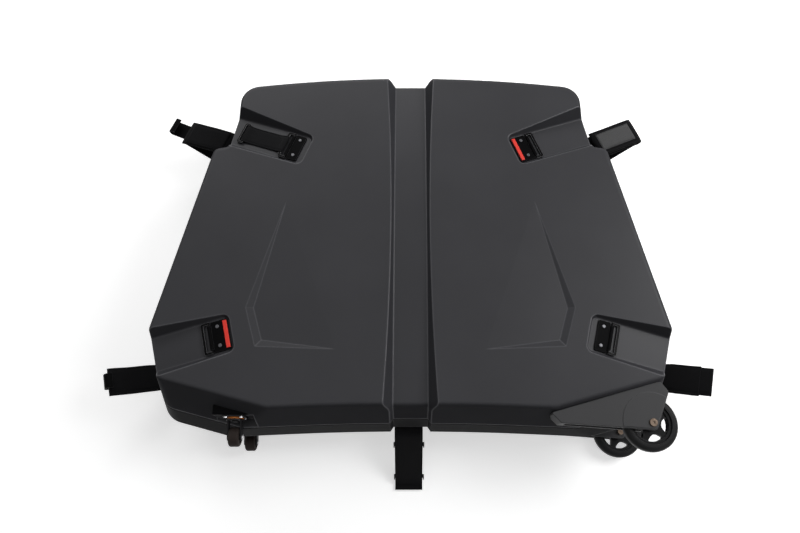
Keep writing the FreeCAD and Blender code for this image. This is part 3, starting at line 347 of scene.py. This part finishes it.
# %% Give each hard piece its finish
finish_rows = [
    (("front_shell", "rear_shell"), shell_grain),
    (("front_rim", "rear_rim"), rim_satin),
    (("rim_seal",), seal_rubber),
    (("wheel_tyre",), tyre_rubber),
    (("wheel_rim",), wheel_black),
    (("wheel_guard",), guard_grain),
    (("wheel_axle",), axle_bronze),
    (("wheel_bearings", "caster_bolts", "caster_axle"), bright_steel),
    (("front_plate_screws", "rear_plate_screws"), screw_steel),
    (("caster_race",), race_orange),
    (("caster_wheel",), tread_brown),
    (("caster_fork", "caster_plate"), caster_steel),
    (("release_tab",), tab_red),
    (("front_loop_", "rear_strap_bars", "upper_left_end_ring", "bottom_strap_slides"), bar_black),
    (("front_plate_", "rear_strap_plates", "strap_hook", "bottom_strap_anchor", "caster_pod",
      "frame_strap_anchors"), fitting_black),
]
soft_nodes = ("side_strap", "bottom_strap", "upper_left_webbing", "front_foam", "rear_foam",
              "frame_straps")
for name, piece in nodes.items():
    fits = [finish for starts, finish in finish_rows if name.startswith(starts)]
    if not fits and not name.startswith(soft_nodes):
        raise ValueError("no finish for " + name)
    if fits:
        piece.data.materials.clear()
        piece.data.materials.append(fits[0])
print("rows of finishes:", len(finish_rows))

# %% [markdown]
# ## Woven finish
# Webbing is a heavy plain weave: ribs across, yarns along. The straps carry their own length and width in
# millimetres as UV, so two wave textures crossed give a weave at its real size on any bend. A wave
# texture of scale 1 repeats each 2 pi / 20, which turns a pitch in millimetres into a scale.


# %% Finish for woven pieces
WAVE_PERIOD = 2 * math.pi / 20.0


def woven(name, colour, rib, yarn, depth):
    """Crossed waves in the strap's own length and width."""
    made, ns, ls, shader = new_finish(name)
    spot = ns.new("ShaderNodeUVMap")
    waves = []
    for direction, pitch in (("X", rib), ("Y", yarn)):
        wave = ns.new("ShaderNodeTexWave")
        wave.bands_direction = direction
        wave.inputs["Scale"].default_value = WAVE_PERIOD / pitch
        wave.inputs["Distortion"].default_value = 0.6
        wave.inputs["Detail"].default_value = 1.0
        ls.new(spot.outputs["UV"], wave.inputs["Vector"])
        waves.append(wave)
    cross = ns.new("ShaderNodeMath")
    cross.operation = "MULTIPLY"
    ls.new(waves[0].outputs["Fac"], cross.inputs[0])
    ls.new(waves[1].outputs["Fac"], cross.inputs[1])
    tint = ns.new("ShaderNodeValToRGB")
    tint.color_ramp.elements[0].color = (*[c * 0.55 for c in colour], 1.0)
    tint.color_ramp.elements[1].color = (*[c * 1.25 for c in colour], 1.0)
    ls.new(cross.outputs["Value"], tint.inputs["Fac"])
    ls.new(tint.outputs["Color"], shader.inputs["Base Color"])
    bump = ns.new("ShaderNodeBump")
    bump.inputs["Strength"].default_value = 0.7
    bump.inputs["Distance"].default_value = depth
    ls.new(cross.outputs["Value"], bump.inputs["Height"])
    ls.new(bump.outputs["Normal"], shader.inputs["Normal"])
    shader.inputs["Roughness"].default_value = 0.85
    shader.inputs["Specular IOR Level"].default_value = 0.08
    shader.inputs["Sheen Weight"].default_value = 0.04
    shader.inputs["Sheen Roughness"].default_value = 0.5
    return made


webbing_black = woven("webbing_black", (0.008, 0.008, 0.009), rib=1.5, yarn=2.2, depth=0.0004)
sleeve_black = woven("sleeve_black", (0.008, 0.008, 0.009), rib=0.9, yarn=0.9, depth=0.0002)
thread_black = woven("thread_black", (0.020, 0.020, 0.021), rib=0.5, yarn=0.5, depth=0.0001)
patch_grey = woven("patch_grey", (0.125, 0.125, 0.127), rib=0.8, yarn=0.8, depth=0.0004)
foam_cloth = woven("foam_cloth", (0.035, 0.036, 0.040), rib=2.4, yarn=2.4, depth=0.0004)
print("woven finishes made")

# %% [markdown]
# ## Straps
# A strap is a flat band that follows a smooth line, so it is modelled directly: a cross-section with a
# crown and a sewn dip near each edge is carried along a NURBS line. Remeshing or cloth would rub out its
# thin edges. All sizes of the straps are in millimetres until a point is put into the frame.


# %% Line and cross-section of a band
WEBBING_WIDTH = 50.0
SLEEVE_WIDTH = 67.0
SLEEVE_THICK = 8.2
SLEEVE_CROWN = 0.22
SLEEVE_SEAM = 5.0
EDGE_ROUND = 1.6
SEAM_DEPTH = 0.9
SEAM_SPREAD = 0.9


def strap_place(x, y, turn, left=False):
    """Puts (along, across, up) in millimetres into the frame; up counts from the joint of the halves."""
    out = Vector((math.cos(math.radians(turn)), math.sin(math.radians(turn)), 0.0))
    across = Vector((-out.y, out.x, 0.0))

    def put(s, v, z):
        point = Vector((x, y, HALF_DEPTH)) + out * s + across * v + Vector((0.0, 0.0, z))
        if left:
            point.x = -point.x
        return point * MM

    return put


def smooth_line(points):
    """Fine points of one NURBS line that is led by the control points."""
    curve = bpy.data.curves.new("strap_line", "CURVE")
    curve.dimensions = "3D"
    curve.resolution_u = 8
    spline = curve.splines.new("NURBS")
    spline.points.add(len(points) - 1)
    for control, (s, z) in zip(spline.points, points):
        control.co = (s, 0.0, z, 1.0)
    spline.order_u = 3
    spline.use_endpoint_u = True
    holder = bpy.data.objects.new("strap_line", curve)
    mesh = bpy.data.meshes.new_from_object(holder)
    line = [Vector((v.co.x, 0.0, v.co.z)) for v in mesh.vertices]
    bpy.data.objects.remove(holder)
    bpy.data.curves.remove(curve)
    bpy.data.meshes.remove(mesh)
    return line


def cross_section(width, thick, crown, seam):
    """Closed row of (across, off) points: top from left to right, then the underside back."""
    half = width / 2
    edge = min(thick / 2, EDGE_ROUND)
    stops = [0.0, 0.35, 0.7, 1.0]
    across = [-half + edge * (1 - math.cos(t * math.pi / 2)) for t in stops]
    if seam:
        across += [seam_at - half for seam_at in (seam - 1.4, seam - 0.5, seam + 0.5, seam + 1.4)]
    across += [half * (k / 5 - 1) for k in range(2, 6)]
    across = sorted(across)
    across = across + [-v for v in reversed(across[:-1])]
    top = []
    for v in across:
        inside = half - abs(v)
        lift = thick / 2 * math.sqrt(max(0.0, 1 - max(0.0, 1 - inside / edge) ** 2))
        lift *= 1 - crown + crown * (1 - (v / half) ** 2)
        if seam:
            lift -= SEAM_DEPTH * math.exp(-((inside - seam) / SEAM_SPREAD) ** 2)
        top.append((v, lift))
    return top + [(v, -lift) for v, lift in reversed(top[1:-1])]


sleeve_ring = cross_section(SLEEVE_WIDTH, SLEEVE_THICK, SLEEVE_CROWN, SLEEVE_SEAM)
print("points round a padded sleeve:", len(sleeve_ring))


# %% Carry a cross-section along a line
WANDER = 0.02


def band(name, put, points, width, thick, crown, seam=0.0, drift=0.0, roll=0.0, widen=None):
    """Mesh band along a line of (along, up) points, with its length and width in millimetres as UV."""
    line = smooth_line(points)
    ring = cross_section(width, thick, crown, seam)
    shape = bmesh.new()
    sheet = shape.loops.layers.uv.new("UVMap")
    rows = []
    run = [0.0]
    for i, here in enumerate(line):
        before = line[max(i - 1, 0)]
        after = line[min(i + 1, len(line) - 1)]
        course = (after - before).normalized()
        off = Vector((-course.z, 0.0, course.x))
        if i:
            run.append(run[-1] + (here - before).length)
        wave = noise.noise(Vector((run[-1] * WANDER, width * 0.1, thick)))
        lean = math.radians(roll * wave)
        spread = widen(run[-1]) if widen else 1.0
        row = []
        for v, h in ring:
            vv = v * spread * math.cos(lean) + drift * wave
            hh = h + v * math.sin(lean)
            place = here + off * hh
            row.append(shape.verts.new(put(place.x, vv, place.z)))
        rows.append(row)
    count = len(ring)
    for i in range(len(rows) - 1):
        for k in range(count):
            k2 = (k + 1) % count
            face = shape.faces.new((rows[i][k], rows[i][k2], rows[i + 1][k2], rows[i + 1][k]))
            face.smooth = True
            left, right = ring[k][0], ring[k2][0]
            marks = ((run[i], left), (run[i], right), (run[i + 1], right), (run[i + 1], left))
            for corner, mark in zip(face.loops, marks):
                corner[sheet].uv = mark
    for row, at in ((rows[0][::-1], 0.0), (rows[-1], run[-1])):
        face = shape.faces.new(row)
        for corner in face.loops:
            corner[sheet].uv = (at, 0.0)
    bmesh.ops.recalc_face_normals(shape, faces=shape.faces)
    mesh = bpy.data.meshes.new(name)
    shape.to_mesh(mesh)
    shape.free()
    piece = bpy.data.objects.new(name, mesh)
    scene.collection.objects.link(piece)
    print(name, "is", round(run[-1]), "mm long")
    return piece


# %% [markdown]
# ## Stitches
# Sewn edges read as webbing only if the thread shows. Each stitch is a small six-sided bead laid along
# the seam. All the stitches of a strap are one mesh, which is lighter than hundreds of objects.


# %% Stitches along a band
BEAD = ((-1.4, 0.15), (-0.7, 0.42), (0.7, 0.42), (1.4, 0.15))
SIDES = 6


def stitches(name, put, points, across, thick, pitch=4.2, start=6.0, stop=6.0, widen=None):
    """Rows of thread beads at given distances across a band."""
    line = smooth_line(points)
    run = [0.0]
    for a, b in zip(line, line[1:]):
        run.append(run[-1] + (b - a).length)
    shape = bmesh.new()
    sheet = shape.loops.layers.uv.new("UVMap")

    def spot_at(distance):
        i = max(k for k in range(len(run)) if run[k] <= distance)
        i = min(i, len(line) - 2)
        share = (distance - run[i]) / max(run[i + 1] - run[i], 1e-6)
        course = (line[i + 1] - line[i]).normalized()
        return line[i].lerp(line[i + 1], share), course, Vector((-course.z, 0.0, course.x))

    at = start
    while at < run[-1] - stop:
        middle, course, off = spot_at(at)
        spread = widen(at) if widen else 1.0
        for v in across:
            rings = []
            for along, fat in BEAD:
                ring = []
                for k in range(SIDES):
                    turn = 2 * math.pi * k / SIDES
                    place = middle + course * along + off * (thick + fat * math.sin(turn))
                    ring.append(shape.verts.new(put(place.x, v * spread + fat * math.cos(turn), place.z)))
                rings.append(ring)
            for first, second in zip(rings, rings[1:]):
                for k in range(SIDES):
                    k2 = (k + 1) % SIDES
                    face = shape.faces.new((first[k], first[k2], second[k2], second[k]))
                    face.smooth = True
            shape.faces.new(rings[0][::-1])
            shape.faces.new(rings[-1])
        at += pitch
    for face in shape.faces:
        for corner in face.loops:
            corner[sheet].uv = (corner.vert.co.x / MM, corner.vert.co.y / MM)
    bmesh.ops.recalc_face_normals(shape, faces=shape.faces)
    mesh = bpy.data.meshes.new(name)
    shape.to_mesh(mesh)
    shape.free()
    mesh.materials.append(thread_black)
    piece = bpy.data.objects.new(name, mesh)
    scene.collection.objects.link(piece)
    return piece


# %% [markdown]
# ## Side straps
# Each strap is sewn round a bar in the rear channel, climbs past the edge and ends in a padded sleeve.
# Two carry a hook, one is folded back with its grip patch up, one shows a flat tongue. One line for the
# upper pair and one for the lower pair serve all four, because the left ones are mirrored.


# %% Lines of the side straps
CHANNEL_START = -141.633
CHANNEL_RISE = 0.11924
BAR_HEIGHT = -133.7
EYE_RADIUS = 4.4


def channel_height(s):
    """Height of a strap's middle in its rear channel."""
    return CHANNEL_START + CHANNEL_RISE * s


def eye_line(far):
    """Webbing that starts on top, goes round the rear bar and runs on along the channel."""
    top = [(118.0, channel_height(118.0) + 1.9), (82.0, channel_height(82.0) + 2.1)]
    eye = [(72.0, BAR_HEIGHT + EYE_RADIUS), (63.0, BAR_HEIGHT + EYE_RADIUS), (61.4, BAR_HEIGHT),
           (63.0, BAR_HEIGHT - EYE_RADIUS), (72.0, BAR_HEIGHT - EYE_RADIUS)]
    under = [(82.0, channel_height(82.0) - 2.1), (118.0, channel_height(118.0) - 1.9),
             (135.0, channel_height(135.0) - 1.0)]
    return top + eye + under + far


upper_far = [(190.0, channel_height(190.0)), (232.0, channel_height(232.0)), (250.0, -111.8),
             (258.0, -88.0), (267.0, -60.0)]
upper_sleeve = [(222.0, -115.2), (236.0, -113.5), (250.0, -111.8), (259.0, -84.0), (275.0, -35.0),
                (284.0, -9.0), (312.0, -6.2), (360.0, -3.1), (407.0, 0.0)]
lower_far = [(165.0, channel_height(165.0)), (190.0, channel_height(190.0)), (212.0, -116.4),
             (232.0, -101.0)]
lower_sleeve = [(196.0, -118.3), (204.0, -117.3), (212.0, -116.0), (240.0, -97.0), (290.0, -59.0),
                (330.0, -29.0), (356.0, -10.5)]
places = {
    "upper_left": strap_place(273.0, 287.0, 21.0, left=True),
    "upper_right": strap_place(273.0, 287.0, 21.0),
    "lower_left": strap_place(421.0, -203.0, -15.0, left=True),
    "lower_right": strap_place(421.0, -203.0, -15.0),
}
print("straps:", list(places))


# %% Bends and widths of the side straps
FOLD_RISE = 15.0
FOLD_BACK = 126.0
TONGUE_CUT = 30.0


def fold_back(points, rise, back):
    """The line goes on round a fold and returns above itself."""
    end = Vector(points[-1])
    course = (end - Vector(points[-2])).normalized()
    up = Vector((-course.y, course.x))
    after = [end + course * 1.0 + up * rise * 0.1, end + course * 1.5 + up * rise * 0.5, end + up * rise,
             end - course * back * 0.4 + up * rise, end - course * back + up * rise]
    return points[:-1] + [tuple(end - course * 8.0)] + [tuple(p) for p in after]


def shortened(points, length):
    """The line without its last length."""
    end = Vector(points[-1])
    course = (end - Vector(points[-2])).normalized()
    return points[:-1] + [tuple(end - course * length)]


def lifted(points, height):
    """A line moved off its strap by a height."""
    line = [Vector(point) for point in points]
    moved = []
    for i, here in enumerate(line):
        course = (line[min(i + 1, len(line) - 1)] - line[max(i - 1, 0)]).normalized()
        moved.append(tuple(here + Vector((-course.y, course.x)) * height))
    return moved


def widening(start, stop, most):
    """Share of its width that a strap has after a run along it."""
    def share(run):
        part = min(max((run - start) / (stop - start), 0.0), 1.0)
        return 1.0 + (most - 1.0) * part * part * (3.0 - 2.0 * part)

    return share


def swung(put, foot, root, tip, turn):
    """The same strap swung about its tip, so that its root leaves the channel's middle."""
    def placed(s, v, z):
        climb = min(max((s - foot) / (root - foot), 0.0), 1.0)
        return put(s, v + climb * (tip - max(s, root)) * math.tan(math.radians(turn)), z)

    return placed


upper_left_swung = swung(places["upper_left"], foot=250.0, root=284.0, tip=407.0, turn=7.0)
sleeve_places = dict(places, upper_left=upper_left_swung)
sleeve_spread = {
    "upper_left": widening(start=60.0, stop=130.0, most=1.12),
    "upper_right": widening(start=60.0, stop=130.0, most=1.18),
    "lower_left": widening(start=30.0, stop=100.0, most=1.07),
    "lower_right": widening(start=30.0, stop=100.0, most=1.17),
}
print("sleeves widen outside the shell:", list(sleeve_spread))

# %% Webbing, sleeves and seams of the four straps
for corner, put in places.items():
    upper = corner.startswith("upper")
    webbing_line = eye_line(upper_far if upper else lower_far)
    webbing = band("strap_webbing_" + corner, put, webbing_line, WEBBING_WIDTH, 3.4, crown=0.05, seam=4.0)
    webbing.data.materials.append(webbing_black)
    line = upper_sleeve if upper else lower_sleeve
    if corner == "upper_right":
        line = fold_back(line, FOLD_RISE, FOLD_BACK)
    if corner == "lower_right":
        line = shortened(line, TONGUE_CUT)
    laid = sleeve_places[corner]
    widen = sleeve_spread[corner]
    sleeve = band("strap_sleeve_" + corner, laid, line, SLEEVE_WIDTH, SLEEVE_THICK, crown=SLEEVE_CROWN,
                  seam=SLEEVE_SEAM, drift=1.5, roll=2.0, widen=widen)
    sleeve.data.materials.append(sleeve_black)
    seam = stitches("strap_seams_" + corner, laid, line, (28.5, -28.5), 3.0, widen=widen)
    for piece in (webbing, sleeve, seam):
        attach(piece, "rear_half")
    for piece in (webbing, sleeve):
        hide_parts("side_strap_" + corner)

# %% [markdown]
# ## Layers on the side straps
# The upper straps carry a second layer below, straight from the foot of the shell's wall to the tip. The
# folded upper right one shows its grey grip patch, the upper left one a doubled end, and the lower right
# one a flat tongue. They are short bands of their own, because a real layer is a separate cut of webbing
# that is sewn on by its edges.

# %% Layers sewn on the side straps
LAYER_SEAM = 2.5
fold_end = Vector(upper_sleeve[-1])
fold_course = (fold_end - Vector(upper_sleeve[-2])).normalized()
fold_up = Vector((-fold_course.y, fold_course.x)) * FOLD_RISE
fold_line = [tuple(fold_end + fold_up - fold_course * back) for back in (112.0, 78.0, 45.0, 12.0)]
patch_line = lifted(fold_line, 4.3)
layer_line = lifted([(292.0, -7.6), (330.0, -5.0), (370.0, -2.4), (398.0, -0.6)], 4.6)
tongue_end = Vector(lower_sleeve[-1])
tongue_course = (tongue_end - Vector(lower_sleeve[-2])).normalized()
tongue_line = [tuple(tongue_end - tongue_course * back) for back in (46.0, 30.0, 14.0, 0.5)]
under_line = [(252.0, -107.0), (275.0, -92.0), (320.0, -61.0), (370.0, -27.5), (402.0, -7.5)]
layers = [
    ("under_upper_left", "upper_left", under_line, 66.0, 3.0, webbing_black),
    ("under_upper_right", "upper_right", under_line, 70.0, 3.0, webbing_black),
    ("patch_upper_right", "upper_right", patch_line, 54.0, 1.4, patch_grey),
    ("layer_upper_left", "upper_left", layer_line, 66.0, 2.4, webbing_black),
    ("tongue_lower_right", "lower_right", tongue_line, 73.0, 5.0, webbing_black),
]
for name, corner, line, width, thick, finish in layers:
    put = sleeve_places[corner] if name.startswith("layer") else places[corner]
    layer = band("strap_" + name, put, line, width, thick, crown=0.03, seam=LAYER_SEAM)
    layer.data.materials.append(finish)
    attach(layer, "rear_half")
    edges = (width / 2 - LAYER_SEAM, LAYER_SEAM - width / 2)
    seam = stitches("seams_" + name, put, line, edges, thick / 2, pitch=3.6, start=3.0, stop=3.0)
    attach(seam, "rear_half")

# %% [markdown]
# ## Bottom strap
# A wide strap is riveted in the rear groove, comes out over the edge and slants down to the floor. It is
# one band with sewn edges, and a turned-up hem is a second short one at its free end.

# %% Bottom strap
belt_place = strap_place(-4.5, 58.0, -90.0)
belt_line = [(436.9, -91.5), (446.0, -63.0), (454.5, -36.0), (459.2, -22.0), (462.5, -20.4),
             (472.0, -22.0), (480.0, -23.8), (487.0, -29.3), (500.0, -43.0), (530.0, -74.6),
             (560.0, -106.3), (580.0, -127.3), (590.0, -137.4), (597.0, -140.0), (607.5, -140.0)]
hem_line = [(597.0, -136.9), (602.0, -136.8), (607.0, -136.9)]
belt = band("belt_webbing", belt_place, belt_line, 70.0, 3.7, crown=0.05, seam=4.0)
belt.data.materials.append(webbing_black)
belt_hem = band("belt_hem", belt_place, hem_line, 69.0, 2.4, crown=0.05)
belt_hem.data.materials.append(webbing_black)
belt_seams = stitches("belt_seams", belt_place, belt_line, (31.0, -31.0), 1.4)
for piece in (belt, belt_hem, belt_seams):
    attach(piece, "rear_half")
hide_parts("bottom_strap")

# %% [markdown]
# ## Short webbing on the upper left loop
# A strip is sewn round the loop's bar and round the end ring. It is one band that goes out below, turns
# round the ring, comes back on top and turns round the bar, so both eyes are open as on the real one.


# %% Front webbing
FRONT_START = 137.0
FRONT_FALL = math.radians(6.8)


def tilted(points):
    """From the front channel's sloping floor to upright (along, up)."""
    level, drop = math.cos(FRONT_FALL), math.sin(FRONT_FALL)
    return [(a * level + h * drop, FRONT_START - a * drop + h * level) for a, h in points]


front_line = tilted([(122.0, 1.3), (150.0, 1.3), (172.0, 1.3), (187.0, 1.4), (188.6, 4.6), (187.0, 8.1),
                     (180.0, 8.0), (170.0, 4.6), (158.0, 3.2), (122.0, 3.2), (92.0, 3.2), (80.0, 4.6),
                     (71.0, 8.0), (63.6, 8.1), (61.6, 4.6), (63.6, 1.4), (78.0, 1.3), (100.0, 1.3),
                     (121.6, 1.3)])
front_webbing = band("front_webbing", places["upper_left"], front_line, WEBBING_WIDTH, 1.7,
                     crown=0.04, seam=3.5)
front_webbing.data.materials.append(webbing_black)
tack_line = tilted([(84.0, 3.2), (122.0, 3.2), (166.0, 3.2)])
front_seams = stitches("front_webbing_seams", places["upper_left"], tack_line, (21.5, -21.5), 0.75,
                       pitch=3.6, start=4.0, stop=4.0)
for piece in (front_webbing, front_seams):
    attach(piece, "loop_upper_left")
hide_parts("upper_left_webbing")

# %% [markdown]
# ## Foam liners
# The liners are cut from foam sheet and covered in cloth, so their edges are round. The hard solid is
# remeshed in small voxels and smoothed, which rounds the edges and keeps the liner in its own space.


# %% Foam liners
def liner(name, node, body):
    """A softened copy of a foam solid."""
    mesh = nodes[node].data.copy()
    mesh.name = name
    piece = bpy.data.objects.new(name, mesh)
    scene.collection.objects.link(piece)
    voxels = piece.modifiers.new("voxels", "REMESH")
    voxels.mode = "VOXEL"
    voxels.voxel_size = 5.0 * MM
    ease = piece.modifiers.new("ease", "SMOOTH")
    ease.factor = 0.5
    ease.iterations = 8
    made = bpy.data.meshes.new_from_object(piece.evaluated_get(bpy.context.evaluated_depsgraph_get()))
    piece.modifiers.clear()
    piece.data = made
    sheet = made.uv_layers.new(name="UVMap")
    for face in made.polygons:
        face.use_smooth = True
        for k in face.loop_indices:
            spot = made.vertices[made.loops[k].vertex_index].co
            sheet.data[k].uv = (spot.x / MM, spot.y / MM)
    made.materials.clear()
    made.materials.append(foam_cloth)
    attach(piece, body)
    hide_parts(node)
    print(name, "faces:", len(made.polygons))


liner("front_liner", "front_foam", "front_half")
liner("rear_liner", "rear_foam", "rear_half")

# %% [markdown]
# ## Tie-down straps
# Two straps hold the bicycle frame on the rear liners. They lie flat between their anchors, so a short
# line with a slight sag and the same band helper are enough.

# %% Tie-down straps
for side, left in (("right", False), ("left", True)):
    put = strap_place(0.0, 8.0, 0.0, left=left)
    line = [(90.5, -122.4), (160.0, -122.6), (240.0, -122.5), (320.0, -122.6), (384.5, -122.4)]
    tie = band("tie_strap_" + side, put, line, 30.0, 1.9, crown=0.05, seam=3.0)
    tie.data.materials.append(webbing_black)
    tie_seam = stitches("tie_seams_" + side, put, line, (12.0, -12.0), 0.8)
    for piece in (tie, tie_seam):
        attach(piece, "rear_half")
    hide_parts("frame_straps")
